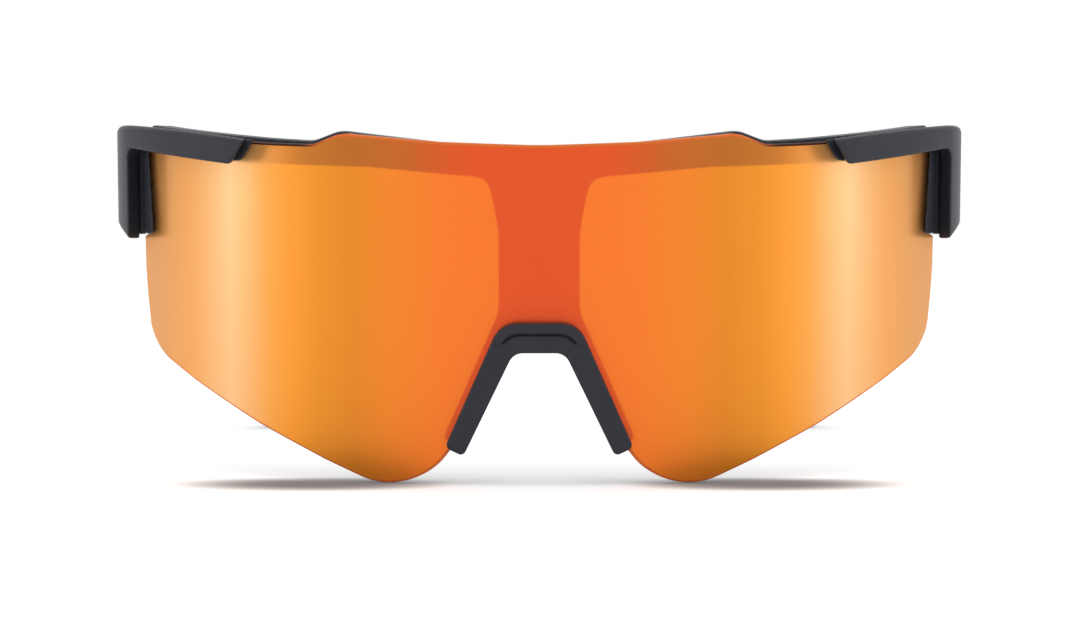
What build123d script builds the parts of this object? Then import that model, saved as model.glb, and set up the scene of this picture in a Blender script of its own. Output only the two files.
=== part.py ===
"""Wrap-around shield sunglasses: one mirrored cylindrical lens, a half frame behind and over its top edge,
L-shaped end covers, a clip-on nose piece and two hinged temples with rubber ear grips.

Row frame: +X towards the wearer's left, +Y from the lens back towards the ears, +Z up. The glasses stand on
the lens's two lower lobes and on the flat undersides of the temple tips, all at Z = 0.
"""

import os
from math import asin, cos, degrees, radians, sin

from build123d import *

os.makedirs("parts", exist_ok=True)

# ------------------------------------------------------------------ driving dimensions, mm and degrees
front_y = -79.2             # foot of the lens's middle line
front_z = 0.063             # lifts the front so that its lobes touch Z = 0
lens_lean = 5.0             # the top of the front leans forward
lens_radius = 80.0          # outer face of the lens, a plain cylinder
lens_thickness = 2.0
lens_gap = 0.1              # between the lens and what holds it

band_thickness = 3.3        # brow band behind the lens
lip_thickness = 1.3         # frame lip in front of the lens
cover_thickness = 2.8       # end covers, outside the lip
wall_start = 34.0           # the end covers begin under here
turn_angle = 58.0           # and leave the lens's curve here
turn_radius = 21.0          # their turn into the straight cheek
wall_end_depth = 56.0       # past the joint, where every side wall is cut off
block_thickness = 4.2       # end block inside the cheek, which carries the hinge
block_front_depth = 39.6    # its front face is the floor of the slot beside the lens

joint_y = front_y + 46.0    # butt joint between the front and the temples
joint_gap = 0.15            # each side of the joint
pivot_x = 65.9              # hinge axis, inside the cheek
knuckle_radius = 1.5
knuckle_bottom = 49.6
knuckle_heights = (2.6, 2.4, 2.6)
knuckle_space = 0.2
pin_radius = 0.70
pin_clearance = 0.05
leaf_thickness = 1.0

screw_radius = 0.6
screw_head_radius = 1.1
screw_head_height = 0.5
screw_heights = (51.2, 56.0)

arm_bend_radius = 370.0     # the temples curve inwards from the joint
arm_thickness = 4.6
arm_slope = 5.9             # the temples run slightly downwards
ear_turn = 46.0             # and turn down behind the ears
ear_y = joint_y + 60.0      # start of that turn
ear_radius = 42.0
grip_thickness = 6.2
grip_height = 10.0
grip_start_y = joint_y + 56.0
tongue_thickness = 2.4
tongue_height = 5.0

arm_reach = 122.0           # of the plan strips, past the tips
arm_middle_z = 53.65        # height of the temple's middle line at the joint
grip_proud = 0.8            # the grips stand proud of the arms
leaf_start = 1.9            # from the pivot to the leaf's plate
leaf_length = 6.0
leaf_screw_y = 4.9
web_thickness = 0.8         # joins a knuckle to its leaf
hinge_head_radius = 1.25
screw_cover_left = 1.4      # of the cover over a screw hole's end
screw_arm_x = 71.6          # where the temple's screw holes end
tip_radius = 2.5            # corners of the temple tips where they meet the ground
grip_edge_radius = 1.6
long_edge_radius = 1.1      # along the top of the end covers and along the temples
corner_radius = 1.6         # inside the L of the end covers
band_end_depth = 42.5       # the band ends here, inside the end blocks

nose_lip_thickness = 1.9
nose_rear_thickness = 1.9
pad_length = 13.5
pad_width = 7.6
pad_thickness = 2.0
pad_splay = 28.0

# ------------------------------------------------------------------ radii that follow from them
band_outer = lens_radius - lens_thickness - lens_gap
lip_outer = lens_radius + lens_gap + lip_thickness
cover_outer = lip_outer + lens_gap + cover_thickness
block_outer = cover_thickness + lens_gap
block_inner = block_outer + block_thickness

cheek_x = cover_outer * sin(radians(turn_angle)) + turn_radius * (1 - sin(radians(turn_angle)))
block_x = cheek_x - block_inner
leaf_x = block_x - leaf_thickness
hole_radius = screw_radius + 0.02
knuckle_top = knuckle_bottom + sum(knuckle_heights) + 2 * knuckle_space

# ------------------------------------------------------------------ planes of the leaning front
lean = radians(lens_lean)
up = Vector(0, -sin(lean), cos(lean))
back = Vector(0, cos(lean), sin(lean))
foot = Vector(0, front_y, front_z)
plan = Plane(origin=foot, x_dir=(1, 0, 0), z_dir=up)        # seen from above: x, depth
face = Plane(origin=foot, x_dir=(1, 0, 0), z_dir=-back)     # seen from the front: x, height
side = Plane(origin=(0, 0, 0), x_dir=(0, 1, 0), z_dir=(1, 0, 0))    # upright side view: y, z
joint = Plane(origin=(0, joint_y, 0), x_dir=(1, 0, 0), z_dir=(0, 1, 0))
roof = Plane(origin=(48.2, front_y + 6.05, 57.05), x_dir=(1, 0, 0.2118), z_dir=(-0.2118, 0.0631, 1))
band_end = Plane(origin=foot + back * band_end_depth, z_dir=back)
reach = 90.0                # longer than the front is wide, deep or tall


def ring(inner, outer):
    """Upright tube about the lens's axis, between two radii."""
    with BuildPart() as tube:
        with BuildSketch(plan.offset(-10)):
            with Locations((0, lens_radius)):
                Circle(outer)
                Circle(inner, mode=Mode.SUBTRACT)
        extrude(amount=reach)
    return tube.part


def both_halves(points, radii):
    """Front-view face from its +X half outline, which starts and ends on the middle line."""
    with BuildSketch(face) as outline:
        with BuildLine():
            FilletPolyline(*points, radius=radii)
            mirror(about=Plane.YZ)
        make_face()
    return outline.sketch


def one_side(plane, points, radii):
    """Closed face on a plane. The outline's first point is a square corner."""
    with BuildSketch(plane) as outline:
        with BuildLine():
            rounded = FilletPolyline(*points, radius=radii)
            Line(rounded @ 1, rounded @ 0)
        make_face()
    return outline.sketch


def side_wall(outer, inner):
    """Plan of a wall that follows the lens's curve, then turns into the straight cheek.
    outer and inner are its depths under the outside of the end cover."""
    centre = Vector(0, lens_radius)
    start = Vector(sin(radians(wall_start)), -cos(radians(wall_start)))
    with BuildSketch(plan.offset(-10)) as wall:
        with BuildLine():
            ends = []
            for depth in (outer, inner):
                sweep_angle = turn_angle - wall_start
                curve = CenterArc((0, lens_radius), cover_outer - depth, wall_start - 90, sweep_angle)
                turn = JernArc(curve @ 1, curve % 1, turn_radius - depth, 90 - turn_angle)
                ends.append(Line(turn @ 1, ((turn @ 1).X, wall_end_depth)) @ 1)
            Line(centre + start * (cover_outer - outer), centre + start * (cover_outer - inner))
            Line(*ends)
        make_face()
    return wall.sketch


# ------------------------------------------------------------------ front-view outlines, +X half
notch = [(12.1, 9.2), (5.2, 24.9), (0, 24.9)]       # the lens's edge over the nose
lens_half = [
    (0, 55.8), (16.3, 55.8), (32.8, 57.42), (37.6, 55.42), (44.5, 55.4), (68.3, 56.0), (68.3, 38.4),
    (69.45, 37.6), (69.35, 30), (68.05, 18.6), (47.9, 7.56), (21.09, -2.94), *notch,
]
lens_radii = [300, 5, 4, 60, 1, 0.4, 0.4, 60, 8, 200, 12, 2, 3]
band_half = [
    (0, 55.6), (12, 55.6), (32.9, 57.65), (37.5, 55.8), (44.5, 55.95), (69.3, 57.0), (69.3, 38.8),
    (65.6, 38.8), (65.6, 51.2), (33.6, 51.2), (30.2, 52.15), (8.1, 50.5), (6.6, 42), (6.6, 28.2),
    (15.75, 7.3), (14.9, 5.9), (13.1, 6.9), (5.2, 24.9), (0, 24.9),
]
band_radii = [60, 5, 4, 60, 0.5, 1, 1, 3, 3, 3, 3.2, 40, 4, 0.8, 0.5, 0.5, 3]
lip_side = [
    (69.1, 54.2), (69.1, 38.3), (67.1, 38.3), (67.95, 53.1), (53.4, 52.05), (49.9, 52.3), (48.5, 54.6),
    (47.8, 56.1), (71.8, 58.2), (71.8, 54.2),
]
lip_radii = [0.5, 0.5, 0.3, 8, 1.6, 2, 0.2, 0.3]
nose_half = [(0, 26.9), (6.4, 26.9), (15.5, 6.2), (12.45, 4.8), (4.2, 21.95), (0, 21.95)]
nose_radii = [4.4, 0.9, 0.9, 2.4]
bead_half = [(0, 26.9), (6.4, 26.9), (7.9, 23.5), (6.3, 23.2), (5.4, 25.3), (0, 25.3)]
bead_radii = [4.4, 0.6, 0.6, 3.2]
bead_height = 0.5
crease_half = [(0, 28.5), (7.4, 28.5), (9.8, 23.3), (6.25, 22.75), (5.2, 24.9), (0, 24.9)]
crease_depth = 0.45

# ------------------------------------------------------------------ lens
lens_face = both_halves(lens_half, lens_radii)
with BuildPart() as lens:
    add(ring(lens_radius - lens_thickness, lens_radius))
    extrude(lens_face, amount=reach, both=True, mode=Mode.INTERSECT)
lens.part.label = "lens"

with BuildPart() as lens_pocket:
    with BuildSketch(face) as pocket_face:
        add(lens_face)
        offset(amount=lens_gap)
    extrude(pocket_face.sketch, amount=reach, both=True)
    add(ring(lens_radius - lens_thickness - lens_gap, lens_radius + lens_gap), mode=Mode.INTERSECT)

# ------------------------------------------------------------------ brow frame: band, lips and end blocks
block_side = [
    (joint_y - joint_gap, 70), (front_y + 20, 70), (front_y + 20, 41.3), (front_y + 40.4, 41.3),
    (front_y + 44.0, 47.4), (joint_y - joint_gap, 47.9),
]
with BuildPart() as lip_left:
    extrude(one_side(face, lip_side, lip_radii), amount=reach, both=True)
    extrude(side_wall(block_outer, lens_radius + block_outer + lip_thickness - band_outer), amount=reach,
            mode=Mode.INTERSECT)
    split(bisect_by=roof.offset(0.25), keep=Keep.BOTTOM)
    split(bisect_by=band_end, keep=Keep.BOTTOM)

with BuildPart() as block_left:
    extrude(side_wall(block_outer, block_inner), amount=reach)
    extrude(one_side(side, block_side, [0.1, 0.1, 1, 3]), amount=reach, both=True, mode=Mode.INTERSECT)
    split(bisect_by=roof.offset(0.25), keep=Keep.BOTTOM)
    split(bisect_by=Plane(origin=foot + back * block_front_depth, z_dir=back), keep=Keep.TOP)

with BuildPart() as brow_frame:
    extrude(both_halves(band_half, band_radii), amount=reach, both=True)
    add(ring(band_outer - band_thickness, band_outer), mode=Mode.INTERSECT)
    split(bisect_by=band_end, keep=Keep.BOTTOM)
    for end in (lip_left.part, block_left.part):
        add(end)
        add(end.mirror(Plane.YZ))
    add(lens_pocket.part, mode=Mode.SUBTRACT)
    for x_sign in (1, -1):
        with BuildSketch(Plane.YZ):
            with Locations(*[(joint_y - leaf_screw_y, z) for z in screw_heights]):
                Circle(hole_radius)
        extrude(amount=x_sign * reach, mode=Mode.SUBTRACT)
        with BuildSketch(Plane.XY.offset(40)):
            with Locations((x_sign * (block_x - 5), joint_y - (leaf_start + leaf_length + 0.2) / 2)):
                Rectangle(10, leaf_start + leaf_length + 0.2)
        extrude(amount=30, mode=Mode.SUBTRACT)
brow_frame.part.label = "brow_frame"

# ------------------------------------------------------------------ end covers
bar_face = [(49.3, 60), (49.3, 55.75), (51.6, 51.85), (75, 53.6), (75, 60)]
cheek_plan = [(72.8, 33.7), (66, 45.6), (66, 62), (84, 62), (84, 33.7)]
cheek_side = [
    (joint_y - joint_gap, 70), (front_y + 20, 70), (front_y + 20, 40.55), (front_y + 39.6, 40.55),
    (front_y + 43.6, 46.9), (joint_y - joint_gap, 47.3),
]
cheek_inner_corner = foot + Vector(70.9, 0, 0) + up * 53.35 + back * 37
cheek_corner = Plane(origin=(cheek_x, joint_y, 43.6), z_dir=(1, 0, -1))
with BuildPart() as cheek_zone:
    with BuildSketch(plan.offset(-10)):
        with BuildLine():
            Polyline(*cheek_plan, close=True)
        make_face()
    extrude(amount=reach)
    extrude(one_side(side, cheek_side, [0.1, 0.1, 1, 3]), amount=reach, both=True, mode=Mode.INTERSECT)

with BuildPart() as end_cover_left:
    extrude(one_side(face, bar_face, [0.1, 0.8, 0.1]), amount=reach, both=True)
    add(cheek_zone.part)
    extrude(side_wall(0, cover_thickness), amount=reach, mode=Mode.INTERSECT)
    split(bisect_by=roof, keep=Keep.BOTTOM)
    split(bisect_by=joint.offset(-joint_gap), keep=Keep.BOTTOM)
    fillet(end_cover_left.edges().sort_by_distance(cheek_inner_corner)[0], corner_radius)
    # of each pair of edges round the top face, the outer one is the longer
    fillet(end_cover_left.faces().sort_by(Axis.Z)[-1].edges().sort_by(SortBy.LENGTH)[-5::2], long_edge_radius)
    split(bisect_by=cheek_corner, keep=Keep.BOTTOM)
    with BuildSketch(Plane.YZ.offset(cheek_x - screw_cover_left)):
        with Locations(*[(joint_y - leaf_screw_y, z) for z in screw_heights]):
            Circle(hole_radius)
    extrude(amount=-reach, mode=Mode.SUBTRACT)

# ------------------------------------------------------------------ nose piece
nose_front = lens_radius + lens_gap + nose_lip_thickness
nose_back = band_outer - band_thickness - lens_gap - nose_rear_thickness
leg = Vector(0.4339, 0, 0) - up * 0.9010
out = Vector(0.9010, 0, 0) + up * 0.4339
splayed = out * sin(radians(pad_splay)) + back * cos(radians(pad_splay))
towards_nose = out * -cos(radians(pad_splay)) + back * sin(radians(pad_splay))
pad_root = foot + Vector(8.3, 0, 0) + up * 13.4 + out * 2.3 + back * 7.8

with BuildPart() as nose_groove:
    add(ring(band_outer - band_thickness - lens_gap, lens_radius + lens_gap))
    extrude(both_halves([(0, 24.8), (5.13, 24.8), (14.6, 3.3), (0, 3.3)], [2.9, 0.1]), amount=reach,
            both=True, mode=Mode.SUBTRACT)

with BuildPart() as nose_bead:
    extrude(both_halves(bead_half, bead_radii), amount=reach, both=True)
    add(ring(nose_front - 2 * crease_depth, nose_front + bead_height), mode=Mode.INTERSECT)

with BuildPart() as nose_crease:
    extrude(both_halves(crease_half, bead_radii), amount=reach, both=True)
    add(ring(nose_front - crease_depth, nose_front + 1), mode=Mode.INTERSECT)

with BuildPart() as nose_wing_left:
    with BuildSketch(Plane(origin=pad_root + splayed * 4.2, x_dir=leg, z_dir=towards_nose)):
        RectangleRounded(pad_length - 1, 8.6, 2)
    extrude(amount=-1.5)

with BuildPart() as nose_piece:
    extrude(both_halves(nose_half, nose_radii), amount=reach, both=True)
    add(ring(nose_back, nose_front), mode=Mode.INTERSECT)
    fillet(nose_piece.faces().sort_by(Axis(foot, back))[0].edges(), 0.5)
    add(nose_groove.part, mode=Mode.SUBTRACT)
    add(nose_crease.part, mode=Mode.SUBTRACT)
    add(nose_bead.part)
    add(nose_wing_left.part)
    add(nose_wing_left.part.mirror(Plane.YZ))
nose_piece.part.label = "nose_piece"

with BuildPart() as nose_pad_left:
    with BuildSketch(Plane(origin=pad_root + splayed * 5.5, x_dir=leg, z_dir=towards_nose)):
        RectangleRounded(pad_length, 7.0, 3)
    extrude(amount=pad_thickness)
    fillet(nose_pad_left.faces().sort_by(Axis((0, 0, 0), towards_nose))[-1].edges(), 1.1)

# ------------------------------------------------------------------ hinges


def leaf(y_sign, own_knuckles):
    """Hinge leaf on the inner face of the end block (y_sign -1) or of the temple (y_sign 1)."""
    with BuildPart() as plate:
        with BuildSketch(Plane.XY.offset(knuckle_bottom)):
            with Locations((leaf_x + leaf_thickness / 2, joint_y + y_sign * (leaf_start + leaf_length / 2))):
                Rectangle(leaf_thickness, leaf_length)
        extrude(amount=knuckle_top - knuckle_bottom)
        base = knuckle_bottom
        for index, height in enumerate(knuckle_heights):
            if index in own_knuckles:
                with BuildSketch(Plane.XY.offset(base)):
                    with Locations((pivot_x, joint_y)):
                        Circle(knuckle_radius)
                    with Locations((leaf_x + web_thickness / 2, joint_y + y_sign * (leaf_start + 0.5) / 2)):
                        Rectangle(web_thickness, leaf_start + 0.5)
                extrude(amount=height)
            base += height + knuckle_space
        with BuildSketch(Plane.XY.offset(knuckle_bottom - 1)):
            with Locations((pivot_x, joint_y)):
                Circle(pin_radius + pin_clearance)
        extrude(amount=knuckle_top - knuckle_bottom + 2, mode=Mode.SUBTRACT)
        with BuildSketch(Plane.YZ):
            with Locations(*[(joint_y + y_sign * leaf_screw_y, z) for z in screw_heights]):
                Circle(hole_radius)
        extrude(amount=reach, mode=Mode.SUBTRACT)
    return plate.part


def side_screws(y_sign, tip_x):
    """Two screws driven outwards through a leaf, their slotted heads on its inner face."""
    centres = [(joint_y + y_sign * leaf_screw_y, z) for z in screw_heights]
    with BuildPart() as screws:
        with BuildSketch(Plane.YZ.offset(leaf_x)):
            with Locations(*centres):
                Circle(screw_radius)
        extrude(amount=tip_x - leaf_x)
        with BuildSketch(Plane.YZ.offset(leaf_x - screw_head_height)):
            with Locations(*centres):
                Circle(screw_head_radius)
        extrude(amount=screw_head_height)
        with BuildSketch(Plane.YZ.offset(leaf_x - screw_head_height)):
            with Locations(*centres):
                Rectangle(2 * screw_head_radius, 0.3)
        extrude(amount=0.25, mode=Mode.SUBTRACT)
    return screws.part


with BuildPart() as hinge_screw_left:
    with BuildSketch(Plane.XY.offset(knuckle_bottom - 0.3)):
        with Locations((pivot_x, joint_y)):
            Circle(pin_radius)
    extrude(amount=knuckle_top - knuckle_bottom + 0.3)
    with BuildSketch(Plane.XY.offset(knuckle_top)):
        with Locations((pivot_x, joint_y)):
            Circle(hinge_head_radius)
    extrude(amount=0.7)
    fillet(hinge_screw_left.edges().group_by(Axis.Z)[-1], 0.25)
    with BuildSketch(Plane.XY.offset(knuckle_top + 0.7)):
        with Locations(Location((pivot_x, joint_y), 35)):
            Rectangle(2 * hinge_head_radius, 0.35)
    extrude(amount=-0.35, mode=Mode.SUBTRACT)

# ------------------------------------------------------------------ temples


def arm_band(outer, inner):
    """Plan of a curved strip of the temple. outer and inner are depths under its outer face."""
    centre = Vector(cheek_x - arm_bend_radius, joint_y)
    far = degrees(asin(arm_reach / arm_bend_radius))
    with BuildSketch(Plane.XY.offset(-5)) as band:
        with BuildLine():
            edges = [CenterArc(centre, arm_bend_radius - depth, 0, far) for depth in (outer, inner)]
            Line(edges[0] @ 0, edges[1] @ 0)
            Line(edges[0] @ 1, edges[1] @ 1)
        make_face()
    return band.sketch


def ear_side(start_y, height, end_length):
    """Side view of a strip along the temple's middle line, round the ear turn and on down.
    Below Z = 0 it is cut off flat, with rounded corners."""
    slope = radians(arm_slope)
    along = Vector(cos(slope), -sin(slope))
    across = Vector(sin(slope), cos(slope))
    start = Vector(joint_y, arm_middle_z) + along * ((start_y - joint_y) / cos(slope))
    turn_start = Vector(joint_y, arm_middle_z) + along * ((ear_y - joint_y) / cos(slope))
    with BuildSketch(side) as strip:
        with BuildLine():
            starts, ends = [], []
            for half in (height / 2, -height / 2):
                straight = Line(start + across * half, turn_start + across * half)
                turn = JernArc(straight @ 1, straight % 1, ear_radius + half, -ear_turn)
                tail = Line(turn @ 1, turn @ 1 + turn % 1 * end_length)
                starts.append(straight @ 0)
                ends.append(tail @ 1)
            Line(*starts)
            Line(*ends)
        make_face()
        with Locations((ear_y, -reach / 2)):
            Rectangle(2 * reach, reach, mode=Mode.SUBTRACT)
        fillet(strip.vertices().filter_by_position(Axis.Y, -0.01, 0.01), tip_radius)
    return strip.sketch


root_plan = [
    (block_x, joint_y), (block_x, joint_y + 11.5), (cheek_x - 4.4, joint_y + 20), (cheek_x - 1, joint_y + 20),
    (cheek_x - 0.1, joint_y),
]
arm_side = [
    (joint_y + joint_gap, 47.3), (grip_start_y - 1.5, 43.1), (grip_start_y + 1.5, 52.35),
    (joint_y + joint_gap, 60.0),
]
with BuildPart() as tongue:
    extrude(arm_band(1.1, 1.1 + tongue_thickness), amount=reach)
    extrude(ear_side(grip_start_y - 4, tongue_height, 16), amount=reach, mode=Mode.INTERSECT)

with BuildPart() as temple_arm_left:
    extrude(arm_band(0, arm_thickness), amount=reach)
    with BuildSketch(Plane.XY.offset(-5)):
        with BuildLine():
            Polyline(*root_plan, close=True)
        make_face()
    extrude(amount=reach)
    with BuildSketch(side):
        with BuildLine():
            Polyline(*arm_side, close=True)
        make_face()
    extrude(amount=reach, mode=Mode.INTERSECT)
    fillet(temple_arm_left.edges().sort_by(SortBy.LENGTH)[-4:], long_edge_radius)
    add(tongue.part)
    with BuildSketch(Plane.YZ.offset(screw_arm_x)):
        with Locations(*[(joint_y + leaf_screw_y, z) for z in screw_heights]):
            Circle(hole_radius)
    extrude(amount=-reach, mode=Mode.SUBTRACT)

with BuildPart() as ear_grip_left:
    extrude(arm_band(-grip_proud, grip_thickness - grip_proud), amount=reach)
    extrude(ear_side(grip_start_y, grip_height, 45), amount=reach, mode=Mode.INTERSECT)
    grip_sides = ear_grip_left.faces().sort_by(Axis.X)
    fillet(grip_sides[0].edges() + grip_sides[-1].edges(), grip_edge_radius)
    add(temple_arm_left.part, mode=Mode.SUBTRACT)

# ------------------------------------------------------------------ both sides, and the files
pairs = {
    "end_cover": end_cover_left.part,
    "nose_pad": nose_pad_left.part,
    "hinge_frame_leaf": leaf(-1, (0, 2)),
    "hinge_temple_leaf": leaf(1, (1,)),
    "hinge_screw": hinge_screw_left.part,
    "cover_screws": side_screws(-1, cheek_x - screw_cover_left - 0.1),
    "temple_screws": side_screws(1, screw_arm_x - 0.1),
    "temple_arm": temple_arm_left.part,
    "ear_grip": ear_grip_left.part,
}
pieces = [lens.part, brow_frame.part, nose_piece.part]
for name, left in pairs.items():
    right = left.mirror(Plane.YZ)
    left.label = name + "_left"
    right.label = name + "_right"
    pieces += [left, right]
for piece in pieces:
    export_step(piece, f"parts/{piece.label}.step")
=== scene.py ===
"""Wrap-around shield sunglasses: a mirrored cylindrical lens in a black half frame, with a clip-on nose
piece, end covers, hinged temples and rubber grips, on a pale studio floor."""

from math import copysign, cos, pi, radians, sin, sqrt, tan

import bmesh
import bpy
from bpy.props import FloatProperty, FloatVectorProperty, IntProperty, PointerProperty
from mathutils import Matrix, Vector


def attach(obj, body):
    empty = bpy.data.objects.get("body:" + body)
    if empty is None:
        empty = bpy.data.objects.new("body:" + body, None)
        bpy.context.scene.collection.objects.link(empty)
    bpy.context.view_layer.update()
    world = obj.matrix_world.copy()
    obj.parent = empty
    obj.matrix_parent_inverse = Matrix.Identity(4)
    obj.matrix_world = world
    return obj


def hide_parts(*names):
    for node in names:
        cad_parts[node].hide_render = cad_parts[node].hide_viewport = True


bl_info = {
    "name": "Shield Sunglasses",
    "version": (1, 0, 0),
    "blender": (4, 5, 0),
    "location": "View3D > Sidebar > Glasses",
    "description": "Builds a pair of wrap-around shield sunglasses around their CAD frame",
    "category": "Add Mesh",
}

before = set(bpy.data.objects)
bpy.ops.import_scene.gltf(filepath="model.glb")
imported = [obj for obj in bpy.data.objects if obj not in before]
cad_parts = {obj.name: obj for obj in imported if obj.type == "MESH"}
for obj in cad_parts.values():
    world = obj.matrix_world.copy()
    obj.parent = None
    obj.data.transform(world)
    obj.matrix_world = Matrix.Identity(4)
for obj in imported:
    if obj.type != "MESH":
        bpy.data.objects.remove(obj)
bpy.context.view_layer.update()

MM = 0.001
MERGE = 0.001 * MM                          # points closer than this are one
LENS_LEAN = radians(5)                      # the top of the front leans forward
FOOT = Vector((0, -79.2, 0.063)) * MM       # foot of the lens's middle line
FRONT = Matrix.Translation(FOOT) @ Matrix.Rotation(LENS_LEAN, 4, "X")   # front's own axes: x, depth, height
SIDES = (("left", 1), ("right", -1))        # the wearer's left is +X

LENS_OUTLINE = [    # +X half seen from the front, mm, each with its corner radius
    (0, 55.8, 0), (16.3, 55.8, 300), (32.8, 57.42, 5), (37.6, 55.42, 4), (44.5, 55.4, 60), (68.3, 56.0, 1),
    (68.3, 38.4, 0.4), (69.45, 37.6, 0.4), (69.35, 30, 60), (68.05, 18.6, 8), (47.9, 7.56, 200),
    (21.09, -2.94, 12), (12.1, 9.2, 2), (5.2, 24.9, 3), (0, 24.9, 0),
]
ARC_STEPS = 14                              # mesh edges in one radian of a rounded corner

RAMP_SPAN = 70                              # the colours below, the coat's tints and a painted highlight, reach this far from the middle, mm
COAT_TINTS_AND_PAINTED_HIGHLIGHT = [    # distance from the middle in mm, and the mirror's colour there: the coat's tint, lighter and paler near 52 mm where a highlight band is painted in
    (0, (0.947, 0.191, 0.027)), (15, (0.956, 0.205, 0.026)), (24.4, (0.905, 0.243, 0.025)),
    (31, (0.812, 0.258, 0.022)), (37, (0.87, 0.30, 0.026)), (41.5, (0.98, 0.345, 0.037)),
    (45.5, (0.97, 0.395, 0.08)), (52.3, (0.96, 0.555, 0.25)), (59.8, (0.90, 0.395, 0.108)),
    (66, (0.78, 0.35, 0.11)),
]

# the frame's T, painted darker on the lens where the black frame behind it would block light shining through,
# mm on the front
BAND_FOOT = (49.9, 52.0)                    # the brow band's lower edge: at the middle, and at most
BAND_CLIMB = 0.0747                         # its climb for each mm towards the sides
BAND_END = (38, 50)                         # where the band fades out
COLUMN_HALF = 6.6                           # half width of the middle column
COLUMN_FLARE = 1.6                          # and how much wider it is under the band
COLUMN_FLARE_HEIGHTS = (40, 52)
ARM_TOP = (6.6, 28.2)                       # a point on the outer edge of a nose arm
ARM_SIDE = (-0.916, -0.401)                 # inwards from that edge
ARM_FOOT = 7.0
T_EDGE = 0.2                                # half width of the T's soft edge
T_PAINTED_SHADES = ((0.83, 0.48, 0.8), (0.62, 0.58, 0.95))      # painted shade on the column, and out on the band


# ------------------------------------------------------------------ shader sums and nodes
class Signal:
    """A node's output that takes part in Python sums, each of which adds its Math node."""

    def __init__(self, finish, socket):
        self.finish = finish
        self.socket = socket

    def math(self, operation, *values):
        return self.finish.node("ShaderNodeMath", {"operation": operation}, dict(enumerate(values)))

    def __add__(self, other):
        return self.math("ADD", self, other)

    def __sub__(self, other):
        return self.math("SUBTRACT", self, other)

    def __rsub__(self, other):
        return self.math("SUBTRACT", other, self)

    def __mul__(self, other):
        return self.math("MULTIPLY", self, other)

    __radd__ = __add__
    __rmul__ = __mul__

    def size(self):
        return self.math("ABSOLUTE", self)

    def least(self, other):
        return self.math("MINIMUM", self, other)

    def meet(self, other, rounding):
        """The smaller of two, with the crease between them rounded."""
        return self.math("SMOOTH_MIN", self, other, rounding)

    def join(self, other, rounding):
        """The greater of two, with the crease between them rounded."""
        return self.math("SMOOTH_MAX", self, other, rounding)

    def rise(self, start, end, low=0.0, high=1.0):
        """Goes smoothly from low to high between two values."""
        return self.finish.node(
            "ShaderNodeMapRange",
            {"interpolation_type": "SMOOTHSTEP"},
            {"Value": self, "From Min": start, "From Max": end, "To Min": low, "To Max": high},
        )


class Finish:
    """A procedural material."""

    def __init__(self, name):
        self.material = bpy.data.materials.new(name)
        self.material.use_nodes = True
        self.tree = self.material.node_tree
        self.tree.nodes.clear()

    def node(self, kind, settings=None, inputs=None, output=0):
        """Adds a node: its settings or ramp stops first, then the values or links of its sockets."""
        made = self.tree.nodes.new(kind)
        for name, value in (settings or {}).items():
            if name == "stops":
                ramp = made.color_ramp.elements
                while len(ramp) < len(value):
                    ramp.new(1.0)
                for element, (place, colour) in zip(ramp, value):
                    element.position = place
                    element.color = (*colour, 1.0)
            else:
                setattr(made, name, value)
        for key, value in (inputs or {}).items():
            if isinstance(value, Signal):
                self.tree.links.new(value.socket, made.inputs[key])
            else:
                made.inputs[key].default_value = value
        return Signal(self, made.outputs[output])

    def place(self, scale=(1.0, 1.0, 1.0), location=(0.0, 0.0, 0.0), turn=(0.0, 0.0, 0.0)):
        """Object coordinates measured from a point, along turned axes, in units of scale."""
        where = self.node("ShaderNodeTexCoord", output="Object")
        return self.node(
            "ShaderNodeMapping",
            {"vector_type": "TEXTURE"},
            {"Vector": where, "Location": location, "Rotation": turn, "Scale": scale},
        )

    def part(self, vector, axis):
        """One of a vector's X, Y and Z."""
        return self.node("ShaderNodeSeparateXYZ", inputs={0: vector}, output=axis)

    def grey(self, level):
        """A colour of one level in all three channels."""
        return self.node("ShaderNodeCombineXYZ", inputs={0: level, 1: level, 2: level})

    def blend(self, factor, first, second, mode="MIX"):
        """A colour between two colours, or one laid over the other."""
        return self.node(
            "ShaderNodeMix",
            {"data_type": "RGBA", "blend_type": mode},
            {"Factor": factor, 6: first, 7: second},
            output=2,
        )

    def grain(self, size, detail=2.0, stretch=(1.0, 1.0, 1.0)):
        """Noise of about one speck per size, from 0 to 1."""
        where = self.place(scale=tuple(size * s for s in stretch))
        return self.node("ShaderNodeTexNoise", inputs={"Vector": where, "Scale": 1.0, "Detail": detail})

    def relief(self, height, depth):
        """A surface normal from a height of 0 to 1 and its real depth."""
        return self.node("ShaderNodeBump", inputs={"Strength": 1.0, "Distance": depth, "Height": height})

    def surface(self, **inputs):
        """The shader and the output that end the material. Words in a socket's name are joined with _."""
        sockets = {name.replace("_", " "): value for name, value in inputs.items()}
        shader = self.node("ShaderNodeBsdfPrincipled", inputs=sockets)
        output = self.tree.nodes.new("ShaderNodeOutputMaterial")
        self.tree.links.new(shader.socket, output.inputs["Surface"])
        return self.material


def rgba(colour, factor=1.0):
    return (*(part * factor for part in colour[:3]), 1.0)


# ------------------------------------------------------------------ finishes
def on_the_front(finish):
    """Distance from the middle and height along the leaning front, in mm."""
    front = finish.place((MM, MM, MM), FOOT, (LENS_LEAN, 0, 0))
    return finish.part(front, "X").size(), finish.part(front, "Z")


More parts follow.
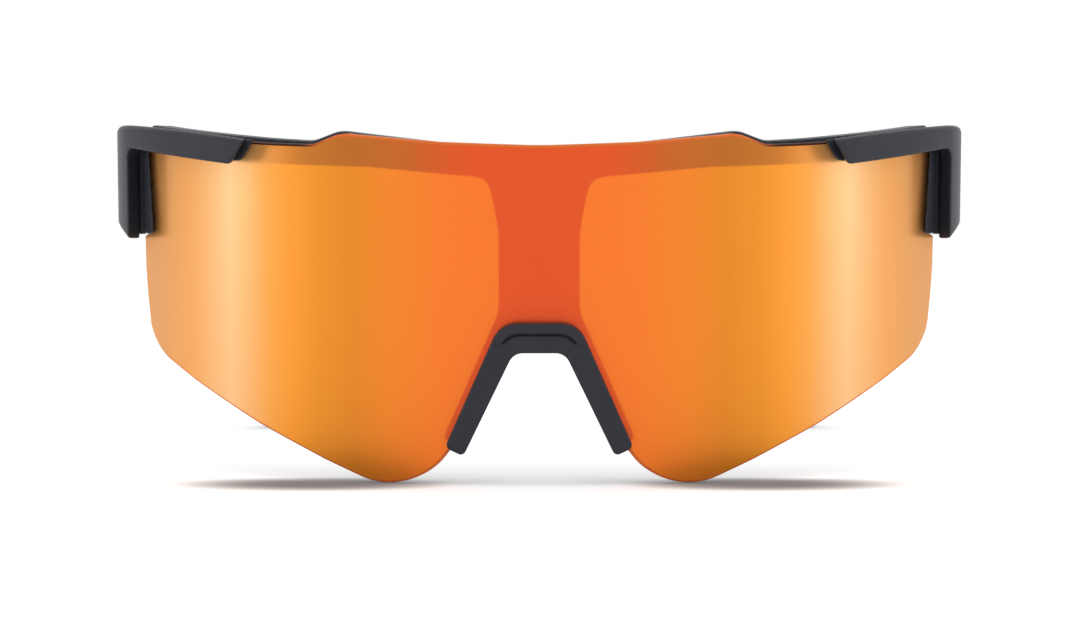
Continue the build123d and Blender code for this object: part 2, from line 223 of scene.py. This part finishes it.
def painted_frame_shade(across, height):
    """Mask of the painted shade: 1 where the brow band, middle column and nose arms stand behind the lens, 0
    elsewhere.
    """
    band = height - (across * BAND_CLIMB + BAND_FOOT[0]).least(BAND_FOOT[1])
    column = (height.rise(*COLUMN_FLARE_HEIGHTS) * COLUMN_FLARE + COLUMN_HALF) - across
    arm_edge = (across - ARM_TOP[0]) * ARM_SIDE[0] + (height - ARM_TOP[1]) * ARM_SIDE[1]
    arms = (arm_edge + 0.15).meet(height - ARM_FOOT, 2.5)
    shape = band.join(column, 4.0).join(arms, 1.0)
    return shape.rise(-T_EDGE, T_EDGE) * across.rise(*BAND_END, 1.0, 0.0)


def mirror_coat():
    """Orange mirror that turns yellower towards the sides, with a painted highlight band near each side and a
    painted darker T where the black frame behind it would block light shining through.
    """
    finish = Finish("orange_mirror_coat")
    across, height = on_the_front(finish)
    # the ramp holds the coat's tints and a painted highlight band
    stops = [(x / RAMP_SPAN, colour) for x, colour in COAT_TINTS_AND_PAINTED_HIGHLIGHT]
    colour = finish.node("ShaderNodeValToRGB", {"stops": stops}, {0: across * (1 / RAMP_SPAN)})
    # painted shade of the black frame behind the lens, as a darker T
    shade = finish.blend(across.rise(9, 24), rgba(T_PAINTED_SHADES[0]), rgba(T_PAINTED_SHADES[1]))
    behind = finish.blend(1.0, colour, shade, "MULTIPLY")
    shaded = finish.blend(painted_frame_shade(across, height), colour, behind)
    darker_foot = finish.grey(height.rise(-8, 10, 0.72, 0.86))
    smear = finish.grain(9 * MM)
    return finish.surface(
        Base_Color=finish.blend(1.0, shaded, darker_foot, "MULTIPLY"),
        Metallic=0.5,
        Roughness=smear * 0.06 + 0.26,
        Specular_IOR_Level=0.0,
        Coat_Weight=0.15,
        Coat_Roughness=0.06,
    )


def lens_inside(settings):
    """Smoke-tinted polycarbonate, polished."""
    finish = Finish("smoke_tint_inside")
    cloud = finish.grain(14 * MM)
    return finish.surface(
        Base_Color=finish.blend(cloud, rgba(settings.inside), rgba(settings.inside, 0.8)),
        Roughness=cloud.rise(0.3, 0.7, 0.12, 0.17),
        Specular_IOR_Level=0.8,
    )


def lens_rim(settings):
    """The lens's edge: clear orange, with painted shade that darkens it where the frame's lip lies over it.
    """
    finish = Finish("polished_lens_rim")
    across, height = on_the_front(finish)
    painted_lip_shade = height.rise(53.5, 54.5) * across.rise(34, 40)
    return finish.surface(
        Base_Color=finish.blend(painted_lip_shade, rgba(settings.rim), rgba(settings.rim, 0.06)),
        Roughness=finish.grain(14 * MM).rise(0.3, 0.7, 0.4, 0.45),
        Specular_IOR_Level=0.1,
    )


def moulded(name, settings, grain_size=0.25, grain_depth=0.006):
    """Satin moulded plastic or rubber with a fine grain, whose size and depth are in mm."""
    finish = Finish(name)
    patches = finish.grain(6 * MM)
    fine = finish.grain(grain_size * MM, detail=3.0)
    return finish.surface(
        Base_Color=finish.blend(patches, rgba(settings.colour, 0.9), rgba(settings.colour, 1.15)),
        Roughness=fine.rise(0.2, 0.8, settings.roughness - 0.05, settings.roughness + 0.06),
        Specular_IOR_Level=0.14,
        Normal=finish.relief(fine, grain_depth * MM),
    )


def rubber(name, settings):
    return moulded(name, settings, grain_size=0.4, grain_depth=0.02)


def brushed_steel(name, settings, stretch):
    """Steel with fine scratches, drawn out along the axis where stretch is large."""
    finish = Finish(name)
    scratches = finish.grain(0.06 * MM, stretch=stretch)
    return finish.surface(
        Base_Color=finish.blend(scratches, rgba(settings.colour, 0.82), rgba(settings.colour)),
        Metallic=1.0,
        Roughness=scratches.rise(0.2, 0.8, settings.roughness - 0.06, settings.roughness + 0.1),
        Normal=finish.relief(scratches, 0.002 * MM),
    )


# ------------------------------------------------------------------ the lens
def rounded_half(outline):
    """One flat face in the X-Z plane from an outline in mm whose points carry a corner radius."""
    mesh = bmesh.new()
    corners = [mesh.verts.new((x * MM, 0, z * MM)) for x, z, _ in outline]
    mesh.faces.new(corners)
    for corner, (_, _, radius) in zip(corners, outline):
        if radius:
            ways = [edge.other_vert(corner).co - corner.co for edge in corner.link_edges]
            turn = pi - ways[0].angle(ways[1])
            bmesh.ops.bevel(
                mesh, geom=[corner], offset=radius * MM * tan(turn / 2), offset_type="OFFSET",
                segments=max(2, int(turn * ARC_STEPS)), profile=0.5, affect="VERTICES", material=-1,
            )
    return mesh


def flat_lens():
    """The lens's whole outline as one flat face."""
    mesh = rounded_half(LENS_OUTLINE)
    bmesh.ops.mirror(mesh, geom=[*mesh.verts, *mesh.edges, *mesh.faces], axis="X", merge_dist=MERGE)
    bmesh.ops.remove_doubles(mesh, verts=mesh.verts, dist=0.03 * MM)
    middle = [edge for edge in mesh.edges if len(edge.link_faces) == 2]
    bmesh.ops.dissolve_edges(mesh, edges=middle, use_verts=True)
    return mesh


def cut_into_strips(mesh, settings):
    """Cuts the face into upright strips. A cut steps clear of the outline's corners, or is left out."""
    widest = max(vert.co.x for vert in mesh.verts)
    strips = int(2 * widest / settings.strip_width)
    corners = [vert.co.x for vert in mesh.verts]
    for index in range(1, strips):
        planned = widest * (2 * index / strips - 1)
        for step in range(settings.cut_tries):
            cut = planned + copysign(step * settings.cut_clearance, planned)
            if min(abs(corner - cut) for corner in corners) >= settings.cut_clearance:
                bmesh.ops.bisect_plane(
                    mesh, geom=[*mesh.verts, *mesh.edges, *mesh.faces], dist=MERGE,
                    plane_co=(cut, 0, 0), plane_no=(1, 0, 0),
                )
                break


def add_thickness(lens, settings):
    """Gives the bent sheet its wall, with other materials inside and round the chamfered rim."""
    wall = lens.modifiers.new("wall", "SOLIDIFY")
    wall.thickness = settings.thickness
    wall.offset = -1
    wall.use_even_offset = True
    wall.material_offset = 1
    wall.material_offset_rim = 2
    rim = lens.modifiers.new("rim", "BEVEL")
    rim.width = settings.rim_width
    rim.segments = 2
    rim.limit_method = "ANGLE"
    rim.angle_limit = radians(50)
    rim.use_clamp_overlap = False
    rim.harden_normals = True
    rim.material = 2


def build_lens(settings):
    """Cuts the lens's flat outline into upright strips, bends it round a cylinder and gives it thickness."""
    mesh = flat_lens()
    cut_into_strips(mesh, settings)
    for vert in mesh.verts:
        vert.co.y = settings.radius - sqrt(settings.radius**2 - vert.co.x**2)
    bmesh.ops.transform(mesh, matrix=FRONT, verts=mesh.verts)
    bmesh.ops.recalc_face_normals(mesh, faces=mesh.faces)
    if mesh.faces[:][0].normal.y > 0:
        bmesh.ops.reverse_faces(mesh, faces=mesh.faces)
    for face in mesh.faces:
        face.smooth = True
    materials = [mirror_coat(), lens_inside(settings), lens_rim(settings)]
    lens = finished(mesh, "shield_lens", materials, "front")
    add_thickness(lens, settings)
    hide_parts("lens")


# ------------------------------------------------------------------ mouldings
def finished(mesh, name, materials, body):
    """The object made from a bmesh, on its body and with its slot."""
    data = bpy.data.meshes.new(name)
    mesh.to_mesh(data)
    mesh.free()
    for material in materials:
        data.materials.append(material)
    piece = bpy.data.objects.new(name, data)
    bpy.context.scene.collection.objects.link(piece)
    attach(piece, body)
    return piece


def welded_copy(node):
    """A copy of a CAD node's mesh, merged, with its flat faces whole again."""
    mesh = bmesh.new()
    mesh.from_mesh(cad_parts[node].data)
    bmesh.ops.remove_doubles(mesh, verts=mesh.verts, dist=0.002 * MM)
    bmesh.ops.dissolve_limit(
        mesh, angle_limit=radians(0.4), use_dissolve_boundaries=False, verts=mesh.verts, edges=mesh.edges
    )
    return mesh


def fine_grid(mesh, size):
    """The bmesh rebuilt as an even grid of small faces."""
    data = bpy.data.meshes.new("rough")
    mesh.to_mesh(data)
    mesh.free()
    rough = bpy.data.objects.new("rough", data)
    bpy.context.scene.collection.objects.link(rough)
    grid = rough.modifiers.new("grid", "REMESH")
    grid.mode = "VOXEL"
    grid.voxel_size = size
    even = bpy.data.meshes.new_from_object(rough.evaluated_get(bpy.context.evaluated_depsgraph_get()))
    rebuilt = bmesh.new()
    rebuilt.from_mesh(even)
    bpy.data.objects.remove(rough)
    bpy.data.meshes.remove(data)
    bpy.data.meshes.remove(even)
    return rebuilt


def smooth(mesh, verts, passes, sideways=True):
    """Draws points towards their neighbours, or only in depth where the outline has to stay."""
    for _ in range(passes):
        bmesh.ops.smooth_vert(
            mesh, verts=verts, factor=0.5, use_axis_x=sideways, use_axis_y=True, use_axis_z=sideways
        )


def fade_bead_ends(mesh, settings):
    """Lets the groove under the nose piece's bead run out softly down its legs."""
    to_front = FRONT.inverted()
    near, far = settings.bead_end_span
    foot, head = settings.bead_end_heights
    ends = []
    for vert in mesh.verts:
        place = to_front @ vert.co
        in_span = near < abs(place.x) < far and foot < place.z < head
        if in_span and vert.co.y < FOOT.y + settings.bead_end_depth:
            ends.append(vert)
    smooth(mesh, ends, settings.bead_end_passes, sideways=False)


def softened(node, name, material, body, grid, passes, settings):
    """A CAD node's copy with soft moulded edges, which stands for it."""
    mesh = fine_grid(welded_copy(node), grid * MM)
    smooth(mesh, mesh.verts, passes)
    if node == "nose_piece":
        fade_bead_ends(mesh, settings)
    for face in mesh.faces:
        face.smooth = True
    piece = finished(mesh, name, [material], body)
    fewer = piece.modifiers.new("fewer_faces", "DECIMATE")
    fewer.ratio = settings.kept_faces
    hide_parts(node)


# ------------------------------------------------------------------ the stage
def shadow_paper(glow):
    """White paper with a painted contact shadow under the lens's two lobes."""
    paper = Finish("white_paper_painted_shadow")
    white = paper.blend(paper.grain(0.3), rgba((0.91, 0.91, 0.91)), rgba((0.93, 0.93, 0.93)))
    # painted contact shadow: a soft ellipse under each lobe of the lens
    half_width, half_depth, lobe = 26, 16, 37
    shadow_spot = paper.place((half_width * MM, half_depth * MM, 1.0), (0, FOOT.y + 2.5 * MM, 0))
    across = paper.part(shadow_spot, "X").size() - lobe / half_width
    deep = paper.part(shadow_spot, "Y")
    level = (across * across + deep * deep).rise(0, 1, 0.24, 1.0)
    shade = paper.blend(1.0, white, paper.grey(level), "MULTIPLY")
    return paper.surface(
        Base_Color=shade, Roughness=0.9, Specular_IOR_Level=0.0, Emission_Color=shade, Emission_Strength=glow
    )


def make_floor(scene, settings):
    mesh = bmesh.new()
    bmesh.ops.create_grid(mesh, x_segments=4, y_segments=4, size=settings.floor_size / 2)
    data = bpy.data.meshes.new("studio_floor")
    mesh.to_mesh(data)
    mesh.free()
    data.materials.append(shadow_paper(settings.floor_glow))
    floor = bpy.data.objects.new("studio_floor", data)
    scene.collection.objects.link(floor)


def make_lights(scene, settings, target):
    """An even white sky, an upright strip on each side and a broad light overhead."""
    world = bpy.data.worlds.new("studio_sky")
    scene.world = world
    world.use_nodes = True
    background = world.node_tree.nodes["Background"]
    background.inputs["Color"].default_value = (1, 1, 1, 1)
    background.inputs["Strength"].default_value = settings.sky
    for side, sign in SIDES:
        lamp = bpy.data.lights.new(f"strip_{side}", "AREA")
        lamp.shape = "RECTANGLE"
        lamp.size = 0.12
        lamp.size_y = 0.4
        lamp.energy = settings.strip_power
        strip = bpy.data.objects.new(f"strip_{side}", lamp)
        strip.location = target + Vector((sign * 0.55, -0.03, 0.16))
        strip.rotation_euler = (target - strip.location).to_track_quat("-Z", "Y").to_euler()
        scene.collection.objects.link(strip)
    sun = bpy.data.lights.new("overhead", "SUN")
    sun.energy = settings.top_power
    sun.angle = radians(60)
    scene.collection.objects.link(bpy.data.objects.new("overhead", sun))


def make_camera(scene, settings, target):
    """Looks slightly down at the front from straight ahead."""
    view = Vector((0, cos(settings.look_down), -sin(settings.look_down)))
    camera = bpy.data.objects.new("camera", bpy.data.cameras.new("camera"))
    camera.data.lens = settings.focal_length
    camera.data.sensor_width = 36
    camera.data.clip_start = 0.01
    camera.location = target - view * settings.distance
    camera.rotation_euler = view.to_track_quat("-Z", "Y").to_euler()
    scene.collection.objects.link(camera)
    scene.camera = camera


# ------------------------------------------------------------------ settings
class LensSettings(bpy.types.PropertyGroup):
    radius: FloatProperty(name="Radius", description="Outer face's radius", default=0.080, unit="LENGTH")
    thickness: FloatProperty(name="Thickness", description="Lens wall", default=0.002, unit="LENGTH")
    strip_width: FloatProperty(
        name="Strip", description="Width of the mesh's strips", default=0.001, unit="LENGTH"
    )
    cut_clearance: FloatProperty(
        name="Cut clearance", description="Keeps strip edges off the corners", default=0.0001, unit="LENGTH"
    )
    cut_tries: IntProperty(name="Cut tries", description="Steps aside before a cut is left out", default=5)
    rim_width: FloatProperty(name="Rim", description="Chamfer round the edge", default=0.0004, unit="LENGTH")
    rim: FloatVectorProperty(
        name="Rim colour", description="Cut edge of the lens", default=(0.60, 0.13, 0.02), subtype="COLOR"
    )
    inside: FloatVectorProperty(
        name="Inside colour", description="Inner face of the lens",
        default=(0.055, 0.028, 0.014), subtype="COLOR"
    )


class PlasticSettings(bpy.types.PropertyGroup):
    colour: FloatVectorProperty(
        name="Colour", description="Black with a trace of blue",
        default=(0.024, 0.0262, 0.0335), subtype="COLOR"
    )
    roughness: FloatProperty(name="Roughness", description="Satin", default=0.38, subtype="FACTOR")
    kept_faces: FloatProperty(
        name="Kept faces", description="Share of the fine mesh that is kept", default=0.45, subtype="FACTOR"
    )
    bead_end_span: FloatVectorProperty(
        name="Bead end span", description="Nearest and furthest from the middle", size=2,
        default=(0.0059, 0.0115), unit="LENGTH",
    )
    bead_end_heights: FloatVectorProperty(
        name="Bead end heights", description="Lowest and highest", size=2,
        default=(0.0210, 0.0241), unit="LENGTH"
    )
    bead_end_depth: FloatProperty(
        name="Bead end depth", description="Behind the lens's foot", default=0.0015, unit="LENGTH"
    )
    bead_end_passes: IntProperty(
        name="Bead end passes", description="Smoothing of the bead's ends", default=150
    )


class RubberSettings(bpy.types.PropertyGroup):
    colour: FloatVectorProperty(
        name="Colour", description="Soft black rubber", default=(0.016, 0.017, 0.019), subtype="COLOR"
    )
    roughness: FloatProperty(name="Roughness", description="Matte", default=0.62, subtype="FACTOR")


class SteelSettings(bpy.types.PropertyGroup):
    colour: FloatVectorProperty(
        name="Colour", description="Hinges and screws", default=(0.50, 0.51, 0.53), subtype="COLOR"
    )
    roughness: FloatProperty(name="Roughness", description="Brushed", default=0.3, subtype="FACTOR")


class StageSettings(bpy.types.PropertyGroup):
    floor_size: FloatProperty(name="Floor", description="Side of the floor", default=6.0, unit="LENGTH")
    floor_glow: FloatProperty(name="Glow", description="Lifts the floor to paper white", default=0.15)
    sky: FloatProperty(name="Sky", description="Even light from all round", default=1.0)
    strip_power: FloatProperty(
        name="Strips", description="Each upright side light", default=0.24, unit="POWER"
    )
    top_power: FloatProperty(name="Top", description="Overhead light", default=0.5)
    distance: FloatProperty(name="Camera distance", description="To the front", default=0.5, unit="LENGTH")
    focal_length: FloatProperty(name="Focal length", description="Camera", default=102.06, unit="CAMERA")
    look_down: FloatProperty(
        name="Look down", description="Camera's tilt", default=radians(1.5), subtype="ANGLE"
    )


# ------------------------------------------------------------------ operators
class MakeLens(bpy.types.Operator):
    """The mirrored shield"""

    bl_idname = "glasses.make_lens"
    bl_label = "Shield Lens"

    def execute(self, context):
        build_lens(context.scene.lens_settings)
        return {"FINISHED"}


class MakeFront(bpy.types.Operator):
    """Brow frame, end covers, nose piece and its pads"""

    bl_idname = "glasses.make_front"
    bl_label = "Front Mouldings"

    def execute(self, context):
        settings = context.scene.plastic_settings
        satin = moulded("satin_black_plastic", settings)
        pad = rubber("nose_pad_rubber", context.scene.rubber_settings)
        softened("brow_frame", "brow_moulding", satin, "front", 0.22, 3, settings)
        softened("nose_piece", "nose_clip", satin, "front", 0.14, 6, settings)
        for side, _ in SIDES:
            softened(
                f"nose_pad_{side}", f"soft_nose_pad_{side}", pad, "front", 0.16, 12, settings
            )
        for side, _ in SIDES:
            cover = f"end_cover_{side}"
            softened(cover, f"corner_cover_{side}", satin, "front", 0.17, 10, settings)
        return {"FINISHED"}


class MakeTemples(bpy.types.Operator):
    """Temple arms and grips"""

    bl_idname = "glasses.make_temples"
    bl_label = "Temples"

    def execute(self, context):
        settings = context.scene.plastic_settings
        satin = moulded("satin_black_arms", settings)
        sleeve = rubber("soft_black_rubber", context.scene.rubber_settings)
        for side, _ in SIDES:
            body = f"temple_{side}"
            softened(f"temple_arm_{side}", f"arm_{side}", satin, body, 0.35, 3, settings)
            softened(f"ear_grip_{side}", f"grip_{side}", sleeve, body, 0.35, 3, settings)
        return {"FINISHED"}


class FinishHardware(bpy.types.Operator):
    """Hinges and screws"""

    bl_idname = "glasses.finish_hardware"
    bl_label = "Hinges and Screws"

    def execute(self, context):
        settings = context.scene.steel_settings
        upright = brushed_steel("brushed_hinge_steel", settings, (1.0, 1.0, 14.0))
        sideways = brushed_steel("turned_screw_steel", settings, (14.0, 1.0, 1.0))
        for name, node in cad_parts.items():
            if name.startswith("hinge") and "leaf" in name:
                node.data.materials[0] = upright
            elif "screw" in name:
                node.data.materials[0] = sideways
        return {"FINISHED"}


class MakeStage(bpy.types.Operator):
    """Floor, lights and camera"""

    bl_idname = "glasses.make_stage"
    bl_label = "Stage"

    def execute(self, context):
        scene = context.scene
        settings = scene.stage_settings
        target = FOOT + Vector((0.13, -2.5, 27.92)) * MM
        scene.view_settings.view_transform = "Standard"
        make_floor(scene, settings)
        make_lights(scene, settings, target)
        make_camera(scene, settings, target)
        return {"FINISHED"}


class GlassesPanel(bpy.types.Panel):
    """Lists the steps that build the glasses"""

    bl_idname = "VIEW3D_PT_glasses"
    bl_label = "Shield Sunglasses"
    bl_space_type = "VIEW_3D"
    bl_region_type = "UI"
    bl_category = "Glasses"

    def draw(self, context):
        for operator in OPERATORS:
            self.layout.operator(operator.bl_idname)
        for name, _ in GROUPS:
            box = self.layout.box()
            group = getattr(context.scene, name)
            for setting in group.bl_rna.properties:
                if setting.identifier not in {"rna_type", "name"}:
                    box.prop(group, setting.identifier)


OPERATORS = (MakeLens, MakeFront, MakeTemples, FinishHardware, MakeStage)
GROUPS = (
    ("lens_settings", LensSettings),
    ("plastic_settings", PlasticSettings),
    ("rubber_settings", RubberSettings),
    ("steel_settings", SteelSettings),
    ("stage_settings", StageSettings),
)


def register():
    for name, group in GROUPS:
        bpy.utils.register_class(group)
        setattr(bpy.types.Scene, name, PointerProperty(type=group))
    for kind in (*OPERATORS, GlassesPanel):
        bpy.utils.register_class(kind)


def unregister():
    for kind in reversed((*OPERATORS, GlassesPanel)):
        bpy.utils.unregister_class(kind)
    for name, group in reversed(GROUPS):
        delattr(bpy.types.Scene, name)
        bpy.utils.unregister_class(group)


def main():
    register()
    bpy.ops.glasses.make_lens()
    bpy.ops.glasses.make_front()
    bpy.ops.glasses.make_temples()
    bpy.ops.glasses.finish_hardware()
    bpy.ops.glasses.make_stage()


if __name__ == "__main__":
    main()
